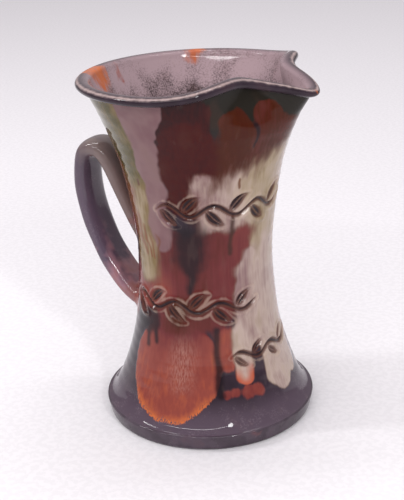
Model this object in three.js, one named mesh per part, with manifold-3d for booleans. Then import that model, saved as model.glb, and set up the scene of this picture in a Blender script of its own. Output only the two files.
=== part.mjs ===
// A wheel-thrown stoneware jug: a waisted wall with a rolled rim and a pulled pouring lip, standing on a
// round foot plate, with a pulled strap handle that is luted to the wall with soft clay at both ends.
// Millimetres, +Z up. The origin is the centre of the underside.
// The lip points along +X and the handle along -X.
import * as THREE from "three";
import { mergeVertices } from "three/addons/utils/BufferGeometryUtils.js";
import Module from "manifold-3d";

const wasm = await Module();
wasm.setup();
const { clamp, lerp, mapLinear, smoothstep } = THREE.MathUtils;

// Foot plate
const FOOT_RADIUS = 53.3;
const FOOT_HEIGHT = 8;
const FOOT_TAPER = 1.2; // the edge leans in by this much from its top to its underside
const FOOT_LOWER_ROUND = 1.6;
const FOOT_UPPER_ROUND = 0.8;

// Wall: outside radii and heights of the skirt, the waist and the neck just under the rim
const SKIRT_INSET = 0.1; // how far the wall's bottom edge stands inside the flat top of the foot plate
const WAIST_RADIUS = 33.3;
const WAIST_HEIGHT = 79.7;
const NECK_RADIUS = 54.2;
const RIM_HEIGHT = 172.8;
const RIM_WIDTH = 7; // of the rolled bead, across the wall
const RIM_DEPTH = 4.4;
const RIM_OVERHANG = 4.4; // how far the bead stands out past the neck
const SKIRT_THICKNESS = 10;
const WAIST_THICKNESS = 5;

// How the wall's curves leave their ends
const SKIRT_RUN = 5.9;
const SKIRT_RISE = 1;
const WAIST_EASE_BELOW = 35.5;
const WAIST_EASE_ABOVE = 51;
const NECK_RUN = 8.1;
const NECK_RISE = 18.7;

// Pouring lip, pulled out of the soft rim between two fingers that press its flanks in.
// Angles are in radians from the middle of the lip.
const LIP_REACH = 3.2;
const LIP_DROP = 4;
const LIP_HALF_ANGLE = 0.2;
const LIP_ROOT_HEIGHT = 125;
const FLANK_PINCH = 13;
const FLANK_ANGLE = 0.55;
const FLANK_ROOT_HEIGHT = 150;
const FLANK_LIFT = 5;
const FLANK_LIFT_ANGLE = 0.76;
const FLANK_LIFT_SPREAD = 0.39;
const RIM_OVAL = 1.4; // the pulled rim is this much narrower along the lip, and wider across it

// Handle: a strap that climbs off the wall, turns over and sweeps back to it
const STRAP_WIDTH = 19.2;
const STRAP_THICKNESS = 9.9;
const STRAP_ROOT_SPREAD = 1.15; // the ends are thumbed out this much wider than the middle
const STRAP_SQUARENESS = 2.6; // exponent of the strap's oval section
const HANDLE_ROOT_HEIGHT = 88.4;
const HANDLE_TAIL_HEIGHT = 52.5;
const HANDLE_TOP_HEIGHT = 130.6; // of the strap's centreline, as the heights above
const HANDLE_OUTER_HEIGHT = 112.6;
const FINGER_SPACE = 27; // clear width between the wall and the strap at HANDLE_OUTER_HEIGHT
const HANDLE_TURN_DEPTH = 8.4; // from the top of the turn out to the strap's outermost place
const ROOT_BURIAL = 3; // how far the centreline starts inside the wall before it is trimmed to it
const ROOT_CLIMB = 23.3;
const ROOT_CLIMB_ANGLE = 0.95;
const TURN_IN = 9.6;
const TURN_OUT = 6.6;
const TURN_DOWN = 11.9;
const SWEEP_DOWN = 21.2;
const TAIL_BURIAL = 3;
const TAIL_RUN = 18.5;
const TAIL_ANGLE = 0.23; // the tail comes in to the wall falling at this angle

// Luting: the fillet of soft clay worked into the corner round each end of the strap
const LUTING_REACH = 4.5;
const LUTING_EDGE = 0.7; // how far its feathered edges stand off the strap and the wall

const JOINT_GAP = 0.3; // the slip-filled seam between two pieces

// Fineness
const TURN_STEPS = 72;
const LIP_CROWDING = 0.5; // how far the wall's turn steps gather towards the lip
const CURVE_STEPS = 11;
const BEAD_STEPS = 6;
const FOOT_ROUND_STEPS = 3;
const STRAP_STEPS = 33;
const STRAP_SIDES = 20;
const LUTING_STEPS = 4;
const SEARCH_STEPS = 2000;
const SLOPE_STEP = 1; // height over which the wall's slope is taken

// Colours of the glaze where each piece shows it
const IRON_BROWN = 0x4a3230;
const RUNNING_GLAZE = 0x8a6a58;

const glaze = (color) => new THREE.MeshStandardMaterial({ color, roughness: 0.12, metalness: 0 });
const point = (x, y) => new THREE.Vector2(x, y);
const bump = (offset, spread) => Math.exp(-((offset / spread) ** 2));

// Points along a cubic curve, closer together towards its last end.
function bezier(...ends) {
  const curve = new THREE.CubicBezierCurve(...ends);
  const share = (step) => Math.sin((Math.PI / 2) * (step / CURVE_STEPS));
  return Array.from({ length: CURVE_STEPS + 1 }, (_, step) => curve.getPoint(share(step)));
}

// The last point of each stretch is the first of the next, so it is kept once.
const chain = (...stretches) => stretches.flatMap((points, i) => (i ? points.slice(1) : points));

// A profile that closes on itself or runs from axis to axis, turned about +Z.
const turned = (profile) => new THREE.LatheGeometry(profile, TURN_STEPS).rotateX(Math.PI / 2);

// Wall

// The outside radius of the wall where it stands on the foot plate.
const SKIRT_RADIUS = FOOT_RADIUS - FOOT_UPPER_ROUND - SKIRT_INSET;

// The outside from the skirt up to the neck. grow moves it outwards.
function outsideLine(grow) {
  const skirt = point(SKIRT_RADIUS + grow, FOOT_HEIGHT);
  const waist = point(WAIST_RADIUS + grow, WAIST_HEIGHT);
  const neck = point(NECK_RADIUS + grow, RIM_HEIGHT - RIM_DEPTH);
  const skirtPull = point(skirt.x - SKIRT_RUN, skirt.y + SKIRT_RISE);
  const neckPull = point(neck.x - NECK_RUN, neck.y - NECK_RISE);
  return chain(
    bezier(skirt, skirtPull, point(waist.x, waist.y - WAIST_EASE_BELOW), waist),
    bezier(waist, point(waist.x, waist.y + WAIST_EASE_ABOVE), neckPull, neck),
  );
}

// The inside from the floor up to the rim.
function insideLine() {
  const floor = point(SKIRT_RADIUS - SKIRT_THICKNESS, FOOT_HEIGHT);
  const waist = point(WAIST_RADIUS - WAIST_THICKNESS, WAIST_HEIGHT);
  const rim = point(NECK_RADIUS + RIM_OVERHANG - RIM_WIDTH, RIM_HEIGHT - RIM_DEPTH / 2);
  const floorPull = point(floor.x - SKIRT_RUN, floor.y + SKIRT_RISE);
  const rimPull = point(rim.x - NECK_RUN, rim.y - NECK_RISE);
  return chain(
    bezier(floor, floorPull, point(waist.x, waist.y - WAIST_EASE_BELOW), waist),
    bezier(waist, point(waist.x, waist.y + WAIST_EASE_ABOVE), rimPull, rim),
  );
}

// The rolled bead, from its underside round the outside and over the crest.
function rimBead() {
  const [halfWidth, halfDepth] = [RIM_WIDTH / 2, RIM_DEPTH / 2];
  const centre = point(NECK_RADIUS + RIM_OVERHANG - halfWidth, RIM_HEIGHT - halfDepth);
  const arc = new THREE.EllipseCurve(centre.x, centre.y, halfWidth, halfDepth, -Math.PI / 2, Math.PI);
  return arc.getPoints(BEAD_STEPS).slice(0, -1);
}

// The lip and its pressed flanks: both fade out down the wall.
function pulledPlace(radius, angle, height) {
  const off = Math.abs(angle);
  const lipShare = smoothstep(height, LIP_ROOT_HEIGHT, RIM_HEIGHT);
  const flankShare = smoothstep(height, FLANK_ROOT_HEIGHT, RIM_HEIGHT);
  const squeeze = (off / FLANK_ANGLE) ** 2;
  const pinch = FLANK_PINCH * squeeze * Math.exp(1 - squeeze);
  const reach = LIP_REACH * bump(off, LIP_HALF_ANGLE) - RIM_OVAL * Math.cos(2 * angle);
  const lift = FLANK_LIFT * bump(off - FLANK_LIFT_ANGLE, FLANK_LIFT_SPREAD);
  const drop = LIP_DROP * bump(off, LIP_HALF_ANGLE);
  const pulledRadius = radius + lipShare * reach - flankShare * pinch;
  const pulledHeight = height + flankShare * (lift - drop);
  return [pulledRadius * Math.cos(angle), pulledRadius * Math.sin(angle), pulledHeight];
}

function pullLip(geometry) {
  const places = geometry.getAttribute("position");
  for (let i = 0; i < places.count; i++) {
    const [x, y, height] = [places.getX(i), places.getY(i), places.getZ(i)];
    const even = Math.atan2(y, x);
    const angle = even - LIP_CROWDING * Math.sin(even);
    places.setXYZ(i, ...pulledPlace(Math.hypot(x, y), angle, height));
  }
  return geometry;
}

const OUTSIDE = outsideLine(0);

// The outside radius of the thrown wall at a height.
function wallRadius(height) {
  const above = clamp(OUTSIDE.filter((p) => p.y <= height).length, 1, OUTSIDE.length - 1);
  const [low, high] = [OUTSIDE[above - 1], OUTSIDE[above]];
  return mapLinear(height, low.y, high.y, low.x, high.x);
}

// Outward direction of the thrown wall at a place on it.
function wallOutward(place) {
  const slope = (wallRadius(place.z + SLOPE_STEP) - wallRadius(place.z)) / SLOPE_STEP;
  return new THREE.Vector3(place.x, place.y, 0).normalize().setZ(-slope).normalize();
}

// The place moved straight in or out until it stands off the thrown wall by a distance.
function offTheWall(place, distance) {
  const scale = (wallRadius(place.z) + distance) / Math.hypot(place.x, place.y);
  return new THREE.Vector3(place.x * scale, place.y * scale, place.z);
}

// Solids

// A closed geometry as a solid that can be cut.
function solid(geometry) {
  const bare = geometry.clone();
  ["normal", "uv"].forEach((name) => bare.deleteAttribute(name));
  const merged = mergeVertices(bare, 1e-3);
  return new wasm.Manifold(
    new wasm.Mesh({
      numProp: 3,
      vertProperties: new Float32Array(merged.getAttribute("position").array),
      triVerts: new Uint32Array(merged.index.array),
    }),
  );
}

function geometryOf(cut) {
  const mesh = cut.getMesh();
  const geometry = new THREE.BufferGeometry();
  geometry.setAttribute("position", new THREE.BufferAttribute(mesh.vertProperties, 3));
  geometry.setIndex(new THREE.BufferAttribute(mesh.triVerts, 1));
  geometry.computeVertexNormals();
  return geometry;
}

// The four-sided faces between neighbouring rings of equal counts.
function skin(rings) {
  const count = rings[0].length;
  const faces = [];
  for (let ring = 0; ring < rings.length - 1; ring++) {
    for (let side = 0; side < count; side++) {
      const next = (side + 1) % count;
      const [a, b] = [ring * count + side, ring * count + next];
      faces.push(a, b, b + count, a, b + count, a + count);
    }
  }
  return faces;
}

// A bar through a row of rings, closed by a fan at each end.
function bar(rings) {
  const count = rings[0].length;
  const middle = (ring) => ring.reduce((sum, p) => sum.add(p), new THREE.Vector3()).divideScalar(count);
  const points = [...rings.flat(), middle(rings[0]), middle(rings.at(-1))];
  const [first, last] = [points.length - 2, points.length - 1];
  const lastRing = (rings.length - 1) * count;
  const faces = skin(rings);
  for (let side = 0; side < count; side++) {
    const next = (side + 1) % count;
    faces.push(first, next, side, last, lastRing + side, lastRing + next);
  }
  return new THREE.BufferGeometry().setFromPoints(points).setIndex(faces);
}

// A loop through a row of rings whose last joins its first.
function loop(rings) {
  const closed = [...rings, rings[0]];
  return new THREE.BufferGeometry().setFromPoints(closed.flat()).setIndex(skin(closed));
}

// The thrown wall with its hollow filled, clearance larger all round.
const wallCore = (clearance) =>
  solid(turned([point(0, FOOT_HEIGHT), ...outsideLine(clearance), point(0, OUTSIDE.at(-1).y)]));

// Handle

// The curves of the strap's centreline in the X-Z plane, from its root in the wall over the turn to its tail.
function handlePath() {
  const place = (out, height) => new THREE.Vector3(-out, 0, height);
  const from = (start, out, up) => start.clone().add(place(out, up));
  const root = place(wallRadius(HANDLE_ROOT_HEIGHT) - ROOT_BURIAL, HANDLE_ROOT_HEIGHT);
  const reach = wallRadius(HANDLE_OUTER_HEIGHT) + FINGER_SPACE + STRAP_THICKNESS / 2;
  const top = place(reach - HANDLE_TURN_DEPTH, HANDLE_TOP_HEIGHT);
  const outer = place(reach, HANDLE_OUTER_HEIGHT);
  const tail = place(wallRadius(HANDLE_TAIL_HEIGHT) - TAIL_BURIAL, HANDLE_TAIL_HEIGHT);
  const climb = from(root, ROOT_CLIMB * Math.cos(ROOT_CLIMB_ANGLE), ROOT_CLIMB * Math.sin(ROOT_CLIMB_ANGLE));
  const arrival = from(tail, TAIL_RUN * Math.cos(TAIL_ANGLE), TAIL_RUN * Math.sin(TAIL_ANGLE));
  return [
    new THREE.CubicBezierCurve3(root, climb, from(top, -TURN_IN, 0), top),
    new THREE.CubicBezierCurve3(top, from(top, TURN_OUT, 0), from(outer, 0, TURN_DOWN), outer),
    new THREE.CubicBezierCurve3(outer, from(outer, 0, -SWEEP_DOWN), arrival, tail),
  ];
}

const PATH = handlePath();

// The place and the direction at a share of the path. Each of its curves takes an equal share.
function pathAt(share) {
  const index = Math.min(Math.floor(share * PATH.length), PATH.length - 1);
  const part = share * PATH.length - index;
  return [PATH[index].getPoint(part), PATH[index].getTangent(part)];
}

// The point on one side of the strap at a share of its path. grow makes the strap larger all round.
function strapPoint(share, side, grow) {
  const turn = (2 * Math.PI * side) / STRAP_SIDES;
  const squared = (value) => Math.sign(value) * Math.abs(value) ** (2 / STRAP_SQUARENESS);
  const spread = lerp(1, STRAP_ROOT_SPREAD, (2 * share - 1) ** 4);
  const across = squared(Math.sin(turn)) * ((STRAP_WIDTH / 2) * spread + grow);
  const out = squared(Math.cos(turn)) * (STRAP_THICKNESS / 2 + grow);
  const [centre, along] = pathAt(share);
  const outward = new THREE.Vector3(along.z, 0, -along.x);
  return centre.addScaledVector(outward, out).setY(across);
}

const strapSides = Array.from({ length: STRAP_SIDES }, (_, side) => side);
const strapShares = Array.from({ length: STRAP_STEPS + 1 }, (_, step) => step / STRAP_STEPS);

function strapSolid(grow) {
  const rings = strapShares.map((share) => strapSides.map((side) => strapPoint(share, side, grow)));
  return solid(bar(rings));
}

// The first share of the path, going inwards from the end at share 0 or 1, where a test holds.
function firstShare(end, test) {
  const shares = Array.from({ length: SEARCH_STEPS + 1 }, (_, step) => Math.abs(end - step / SEARCH_STEPS));
  return shares.find(test) ?? end;
}

// Where one side of the strap leaves the wall.
function leavingShare(side, end) {
  return firstShare(end, (share) => {
    const place = strapPoint(share, side, 0);
    return Math.hypot(place.x, place.y) > wallRadius(place.z);
  });
}

// One cut through the fillet: a hollow curve from the strap to the wall, closed by a corner inside both.
// It reaches up to twice as far where the strap leaves the wall at a sharp angle.
function filletRing(side, end) {
  const leaving = leavingShare(side, end);
  const corner = strapPoint(leaving, side, 0);
  const offStrap = strapPoint(leaving, side, LUTING_EDGE).sub(corner).normalize();
  const offWall = wallOutward(corner);
  const reach = LUTING_REACH * (1 + Math.max(0, -offStrap.dot(offWall)));
  const reached = firstShare(end, (share) => {
    const further = Math.abs(share - end) > Math.abs(leaving - end);
    return further && strapPoint(share, side, 0).distanceTo(corner) > reach;
  });
  const alongWall = offStrap.clone().projectOnPlane(offWall).normalize();
  const between = offStrap.clone().add(offWall).normalize();
  const offBoth = between.multiplyScalar(LUTING_EDGE / between.dot(offWall));
  const strapEdge = strapPoint(reached, side, LUTING_EDGE);
  const wallEdge = offTheWall(corner.clone().addScaledVector(alongWall, reach), LUTING_EDGE);
  const curve = new THREE.QuadraticBezierCurve3(strapEdge, corner.clone().add(offBoth), wallEdge);
  return [...curve.getPoints(LUTING_STEPS), corner.clone().sub(offBoth)];
}

// The fillet round the strap's end at share 0 or 1, a seam's width clear of strap and wall.
function lutingFillet(end) {
  const rings = strapSides.map((side) => filletRing(side, end));
  if (end) rings.reverse();
  return solid(loop(rings)).subtract(strapSolid(JOINT_GAP)).subtract(wallCore(JOINT_GAP));
}

// Pieces

// A thick disc whose edge leans in towards the underside, rounded above and below.
function footPlate() {
  const quarter = (radius, round, height, from) => {
    const arc = new THREE.EllipseCurve(radius - round, height, round, round, from, from + Math.PI / 2);
    return arc.getPoints(FOOT_ROUND_STEPS);
  };
  return turned([
    point(0, 0),
    ...quarter(FOOT_RADIUS - FOOT_TAPER, FOOT_LOWER_ROUND, FOOT_LOWER_ROUND, -Math.PI / 2),
    ...quarter(FOOT_RADIUS, FOOT_UPPER_ROUND, FOOT_HEIGHT - FOOT_UPPER_ROUND, 0),
    point(0, FOOT_HEIGHT),
  ]);
}

function thrownWall() {
  const profile = [...OUTSIDE, ...rimBead(), ...insideLine().reverse()];
  return pullLip(turned([...profile, profile[0]]));
}

const jug = new THREE.Group();
function addPiece(name, geometry, color) {
  const mesh = new THREE.Mesh(geometry, glaze(color));
  mesh.name = name;
  jug.add(mesh);
}

addPiece("foot_plate", footPlate(), IRON_BROWN);
addPiece("thrown_wall", thrownWall(), RUNNING_GLAZE);
addPiece("handle_strap", geometryOf(strapSolid(0).subtract(wallCore(JOINT_GAP))), IRON_BROWN);
addPiece("upper_luting", geometryOf(lutingFillet(0)), IRON_BROWN);
addPiece("lower_luting", geometryOf(lutingFillet(1)), IRON_BROWN);

export default jug;
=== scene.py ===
"""The looks of a glazed stoneware jug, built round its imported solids.

Shapes are worked out in millimetres and turned into metres when a mesh is made. The lip is at angle 0 and the
handle at 180 degrees, as in the frame.
"""

import math
from typing import NamedTuple

import bpy
import numpy as np
from mathutils import Color, Matrix, Vector


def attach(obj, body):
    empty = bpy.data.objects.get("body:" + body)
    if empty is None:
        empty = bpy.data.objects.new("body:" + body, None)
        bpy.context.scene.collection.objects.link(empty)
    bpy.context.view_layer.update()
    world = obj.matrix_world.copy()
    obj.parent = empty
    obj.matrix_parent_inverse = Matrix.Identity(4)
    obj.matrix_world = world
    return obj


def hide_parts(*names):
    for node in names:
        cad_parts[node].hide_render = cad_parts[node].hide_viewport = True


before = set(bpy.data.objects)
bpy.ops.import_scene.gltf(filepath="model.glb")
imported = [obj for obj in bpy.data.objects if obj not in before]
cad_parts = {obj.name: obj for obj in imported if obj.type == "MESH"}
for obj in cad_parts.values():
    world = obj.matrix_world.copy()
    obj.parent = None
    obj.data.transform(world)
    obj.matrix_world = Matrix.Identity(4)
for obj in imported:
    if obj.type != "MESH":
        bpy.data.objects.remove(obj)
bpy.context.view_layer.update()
MM = 0.001

# The thrown form, with the solids' own sizes. Its angles are in radians.
FOOT_RADIUS = 53.25
FOOT_HEIGHT = 8.0
FOOT_TAPER = 1.2
FOOT_LOWER_ROUND = 1.6
FOOT_UPPER_ROUND = 0.8
SKIRT_RADIUS = 52.4
WAIST_RADIUS, WAIST_HEIGHT = 33.3, 79.7
NECK_RADIUS = 54.2
RIM_HEIGHT = 172.75
RIM_WIDTH, RIM_DEPTH, RIM_OVERHANG = 7.0, 4.4, 4.3
SKIRT_THICKNESS, WAIST_THICKNESS = 10.0, 5.0
SKIRT_RUN, SKIRT_RISE = 5.9, 1.0
WAIST_EASE_BELOW, WAIST_EASE_ABOVE = 35.5, 51.0
NECK_RUN, NECK_RISE = 8.1, 18.7
LIP_REACH, LIP_DROP, LIP_HALF_ANGLE, LIP_ROOT_HEIGHT = 3.15, 4.0, 0.2, 125.0
FLANK_PINCH, FLANK_ANGLE, FLANK_ROOT_HEIGHT = 13.0, 0.55, 150.0
FLANK_LIFT, FLANK_LIFT_ANGLE, FLANK_LIFT_SPREAD = 4.95, 0.76, 0.39
RIM_OVAL = 1.4

# The handle, with the solids' own sizes. Its angles are in radians.
STRAP_WIDTH, STRAP_THICKNESS = 19.1, 9.8
STRAP_ROOT_SPREAD, STRAP_SQUARENESS = 1.15, 2.6
HANDLE_ROOT_HEIGHT, HANDLE_TAIL_HEIGHT = 88.4, 52.5
HANDLE_TOP_HEIGHT, HANDLE_OUTER_HEIGHT = 130.6, 112.6
FINGER_SPACE, HANDLE_TURN_DEPTH = 27.0, 8.4
ROOT_BURIAL, ROOT_CLIMB, ROOT_CLIMB_ANGLE = 3.0, 23.3, 0.95
TURN_IN, TURN_OUT, TURN_DOWN, SWEEP_DOWN = 9.6, 6.6, 11.9, 21.2
TAIL_BURIAL, TAIL_RUN, TAIL_ANGLE = 3.0, 18.5, 0.23
LUTING_REACH = 4.5

# What the glazed handle adds to its solids
STRAP_END_BURIAL = 1.5  # how far the strap's ends go into the wall
STRAP_INSET = 0.1  # how far its surface lies inside the solid
LUTING_EDGE_BURIAL = 0.25  # how far the luting's edges go under the glaze
LUTING_BACK_BURIAL = 1.0  # how far its hidden back lies behind the corner
LUTING_FULLNESS = 0.3  # how far its face is drawn out of the corner
ROOT_END, TAIL_END = 0, 1

# Relief of the wall and the strap
GLAZE_THICKNESS = 0.22
UNEVENNESS, UNEVENNESS_PITCH, UNEVENNESS_SEED = 0.22, 34.0, 7
THROWING_DEPTH, THROWING_PITCH = 0.04, 5.5
RELIEF_START = (9.0, 15.0)  # heights over which the wall's relief begins
RELIEF_STOP = (5.0, 12.0)  # depths below the rim over which it ends
STRAP_UNEVENNESS, STRAP_PITCH, STRAP_SEED = 0.12, 18.0, 11
STRAP_EVEN_ENDS = (0.05, 0.15)  # shares of its path, from either end, over which that begins

# The pressed ornament: wavy stems with ribbed leaves
CUT_DEPTH, CUT_SLOPE = 1.3, 2.0
BURR_HEIGHT, BURR_OFFSET, BURR_SPREAD = 0.5, 0.9, 0.8
STEM_HALF, STEM_STEP = 1.5, 2.0  # half its width, and the degrees between its points
STEM_TAPER = (-4.0, 10.0)  # degrees from its ends over which a stem widens
FIRST_LEAF, LAST_LEAF = 0.1, 0.3  # leafless shares of a wave at the stem's ends
LEAF_POINTS = 13
LEAF_SLANT = 0.42  # share of a wave that a leaf reaches along the stem
LEAF_START, LEAF_CLIMB, LEAF_DROOP = 0.15, 1.55, 0.7  # its way off the stem, as shares of its length
LEAF_WIDTH, RIB_WIDTH = 0.27, 0.02  # halves, as shares of a leaf's length
LEAF_BELLY = 0.7  # below 1, a leaf is widest nearer the stem
LEAF_FULLNESS = (1.25, 0.75)  # at the stem and at the tip
LEAST_HALF = 0.15  # of a leaf or rib, in mm
RIB_HEIGHT = 0.75  # as a share of the depth of the cut
RIB_EDGE = (-0.5, 0.4)  # mm inside the rib's outline over which it rises
FAR_OUTSIDE = -9.0  # mm inside, for places that are near no stroke
NEAR_ANGLE, NEAR_HEIGHT = 8.0, 6.0  # degrees and mm round a stroke

# Where the wall's glazes change, in heights and in shares of the rim's bead
OLIVE_HEIGHTS = (140.0, 160.0)  # the iron glaze turns olive towards the rim
GREY_HEIGHTS = (11.0, 25.0)  # and grey towards the foot
DEEP_SHADE_HEIGHTS = (142.0, 168.0)  # painted shade: the inside gets darker from the rim down
INSIDE_SHARES = (0.5, 1.0)  # the bead takes the inside's glaze
THIN_GLAZE_AND_HIGHLIGHT_SHARE, THIN_GLAZE_AND_HIGHLIGHT_SPREAD = 0.5, 0.075  # the bead's glaze is thinnest there, and a painted highlight runs along it
CALM_HEIGHTS, CALM_SHARE = (45.0, 75.0), 0.4  # the glazes' edges wander less towards the foot
WANDER_ROUND = [(1.5, 15.0, 3), (0.25, 5.0, 4)]  # reach, pitch and seed of each noise
WANDER_UP = [(1.5, 14.0, 5), (0.25, 4.0, 6)]
TIP_SHARES = (0.6, 0.9)  # shares of a run's length over which its tip begins
LEAST_TIP = 0.01  # keeps a tipless run from dividing by nothing

# Runs on the side of the wall that the photograph doesn't show
HIDDEN_ANGLES = (34.0, 200.0)
HIDDEN_STRAY = 0.3  # as a share of the spacing
HIDDEN_LOWEST = 13.0
HIDDEN_TAPER = (0.8, 1.2)  # lower half width, as a share of the upper one
HIDDEN_TOP_SOFT, HIDDEN_BOTTOM_SOFT, HIDDEN_TIP = 6.0, (0.7, 4.0), 2.0

# Glaze of the foot, in degrees and mm, and of the handle, in shares of its path
FOOT_SPOT_ANGLE, FOOT_SPOT_HEIGHT = 325.0, 5.5
FOOT_SPOT_DEGREES, FOOT_SPOT_DEPTH = 4.0, 2.0
ROOT_RUST, ROOT_RUST_SHARES = 0.5, (0.02, 0.12)
TAIL_RUST, TAIL_RUST_SHARES = 0.2, (0.85, 0.97)
UPPER_LUTING_RUST, LOWER_LUTING_RUST = 0.9, 0.5
STRIPE_PLACE, STRIPE_LENGTH, STRIPE_WIDTH = 0.42, 0.1, 0.3  # a dark stripe on the strap's inner face
INNER_FACE_EDGE = 0.5  # the cosine round the section from which that face is full

# Fineness of the meshes
SIDE_POINTS, PATH_POINTS = 200, 600  # on each curve of the wall's section and of the handle's path
WALL_COLUMNS, FRONT_CROWDING = 340, 0.38
OUTSIDE_ROWS, BEAD_ROWS, INSIDE_ROWS = 228, 14, 48
ORNAMENT_CROWDING, MOUTH_CROWDING = 1.5, 4.0  # how much closer the rows lie there
ORNAMENT_START, ORNAMENT_STOP, MOUTH_START = (18.0, 30.0), (130.0, 142.0), (125.0, 160.0)
FOOT_COLUMNS, FOOT_FACE_ROWS, FOOT_LOWER_ROWS, FOOT_UPPER_ROWS = 240, 20, 8, 6
FOOT_FAN_RADIUS = 1.0
STRAP_ROWS, STRAP_SIDES = 180, 72
LUTING_ROWS = 12
SHARP_ANGLE = 55.0  # edges that turn by more degrees stay sharp

# The camera of the photograph: degrees, mm, and pixels of its picture
PHOTO_SIZE = (404, 500)
CAMERA_AZIMUTH, CAMERA_ELEVATION, CAMERA_DISTANCE = 29.0, 20.59, 523.0
CAMERA_AIM_HEIGHT = 90.0
CAMERA_ROLL = -2.07
FOCAL_PIXELS = 1057.0
PRINCIPAL_POINT = (204.9, 236.4)
SENSOR_WIDTH = 36.0
CLIP_START = 10.0
FRONT_ANGLE = CAMERA_AZIMUTH - 90.0  # the side of the jug that faces the camera

# Light, floor and gloss. Each lamp has a name, a place and a size in metres, and a power in watts.
LAMPS = [
    ("window", (-0.9, -0.5, 1.1), (0.1, 0.5), 4.5),
    ("fill", (0.9, -0.7, 0.8), (0.12, 0.3), 4.0),
    ("overhead", (-0.12, 0.21, 1.5), (1.4, 0.06), 5.5),
    ("front", (0.2, -1.0, 1.0), (1.8, 0.05), 5.5),
]
ROOM_LIGHT = (0.3, 0.9)  # at the walls and overhead
ROOM_COLOUR = (0.98, 0.95, 0.98, 1.0)
FLOOR_SIZE, FLOOR_ROUGHNESS = 6.0, 0.9  # its side in metres
GLAZE_SPECULAR, DARK_GLAZE_SPECULAR = 0.2, 0.45
GLAZE_ROUGHNESS, DARK_GLAZE_ROUGHNESS = (0.03, 0.06), (0.04, 0.08)
FINE_RELIEF_PITCH, FINE_RELIEF_STRENGTH, FINE_RELIEF_DEPTH = 3.0, 0.12, 0.04

# How strongly details of the glazes show
FOOT_BLOOM, DARK_BLOOM = 0.2, 0.12
INSIDE_SPECKS = 0.55
FRAYING, PALE_HAIRS = 0.9, 0.7
STRIPE_SHADE = 0.7
DARK_RUST_TINT = 0.7

# Noises
WOBBLE_WAVES, WOBBLE_PITCHES = 14, (0.7, 1.5)  # waves in a noise, and the range of their pitches
NOISE_SPAN = (0.28, 0.72)  # a noise texture's values lie mostly between these
TINY = 1e-6  # keeps divisions away from nothing


# Numbers and curves

def smooth_step(value, low, high):
    share = np.clip((value - low) / (high - low), 0.0, 1.0)
    return share * share * (3.0 - 2.0 * share)


def smooth_fall(value, low, high):
    """1 below low, 0 above high and smooth in between."""
    return smooth_step(high - value, 0.0, high - low)


def bump(offset, spread):
    return np.exp(-((offset / spread) ** 2))


def blend(first, second, share):
    return first + (second - first) * share


def unit(vectors):
    return vectors / np.maximum(np.linalg.norm(vectors, axis=-1, keepdims=True), TINY)


def bezier(ends, count):
    share = np.linspace(0.0, 1.0, count)[:, None]
    a, b, c, d = (np.array(end, float) for end in ends)
    rest = 1.0 - share
    return a * rest**3 + 3.0 * b * share * rest**2 + 3.0 * c * share**2 * rest + d * share**3


def even_line(points, count, crowding):
    """The line through the points, cut into count points, closer together where crowding is larger."""
    steps = np.linalg.norm(np.diff(points, axis=0), axis=1) * (crowding[1:] + crowding[:-1]) / 2.0
    along = np.concatenate([[0.0], np.cumsum(steps)])
    places = np.linspace(0.0, along[-1], count)
    return np.stack([np.interp(places, along, line) for line in points.T], axis=1)


def wobble(places, pitch, seed):
    """Smooth noise between about -1 and 1 at places, with features about pitch across."""
    chance = np.random.default_rng(seed)
    total = np.zeros(places.shape[:-1])
    for _ in range(WOBBLE_WAVES):
        heading = unit(chance.normal(size=3)) / (pitch * chance.uniform(*WOBBLE_PITCHES))
        total += np.sin(2.0 * math.pi * (places @ heading) + chance.uniform(0.0, 2.0 * math.pi))
    return total / math.sqrt(WOBBLE_WAVES)


# The wall's form

def side_line(foot, waist, top):
    """The curve up one face of the wall through (radius, height) at its foot, waist and top."""
    foot_pull = (foot[0] - SKIRT_RUN, foot[1] + SKIRT_RISE)
    top_pull = (top[0] - NECK_RUN, top[1] - NECK_RISE)
    below = (foot, foot_pull, (waist[0], waist[1] - WAIST_EASE_BELOW), waist)
    above = (waist, (waist[0], waist[1] + WAIST_EASE_ABOVE), top_pull, top)
    return np.vstack([bezier(below, SIDE_POINTS), bezier(above, SIDE_POINTS)[1:]])


OUTSIDE = side_line(
    (SKIRT_RADIUS, FOOT_HEIGHT), (WAIST_RADIUS, WAIST_HEIGHT), (NECK_RADIUS, RIM_HEIGHT - RIM_DEPTH)
)
INSIDE = side_line(
    (SKIRT_RADIUS - SKIRT_THICKNESS, FOOT_HEIGHT),
    (WAIST_RADIUS - WAIST_THICKNESS, WAIST_HEIGHT),
    (NECK_RADIUS + RIM_OVERHANG - RIM_WIDTH, RIM_HEIGHT - RIM_DEPTH / 2.0),
)
SLOPES = np.gradient(OUTSIDE[:, 0], OUTSIDE[:, 1])
STEPS = np.linalg.norm(np.diff(OUTSIDE, axis=0), axis=1)
CLIMBS = np.concatenate([[0.0], np.cumsum(STEPS)])


def wall_radius(height):
    return np.interp(height, OUTSIDE[:, 1], OUTSIDE[:, 0])


def climb(height):
    """The way from the foot up the wall's outside to a height, and straight on past its ends."""
    past_ends = height - np.clip(height, OUTSIDE[0, 1], OUTSIDE[-1, 1])
    return np.interp(height, OUTSIDE[:, 1], CLIMBS) + past_ends


def wall_outward(places):
    """Directions straight out of the thrown wall near places."""
    slope = np.interp(places[..., 2], OUTSIDE[:, 1], SLOPES)
    level = unit(places[..., :2])
    return unit(np.concatenate([level, -slope[..., None]], axis=-1))


def rim_bead(count):
    """The rolled bead from its underside over the crest, without its last point, which the inside has."""
    turn = np.linspace(-math.pi / 2.0, math.pi, count + 1)[:-1]
    middle = NECK_RADIUS + RIM_OVERHANG - RIM_WIDTH / 2.0
    radius = middle + RIM_WIDTH / 2.0 * np.cos(turn)
    return np.stack([radius, RIM_HEIGHT - RIM_DEPTH / 2.0 + RIM_DEPTH / 2.0 * np.sin(turn)], axis=1)


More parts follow.
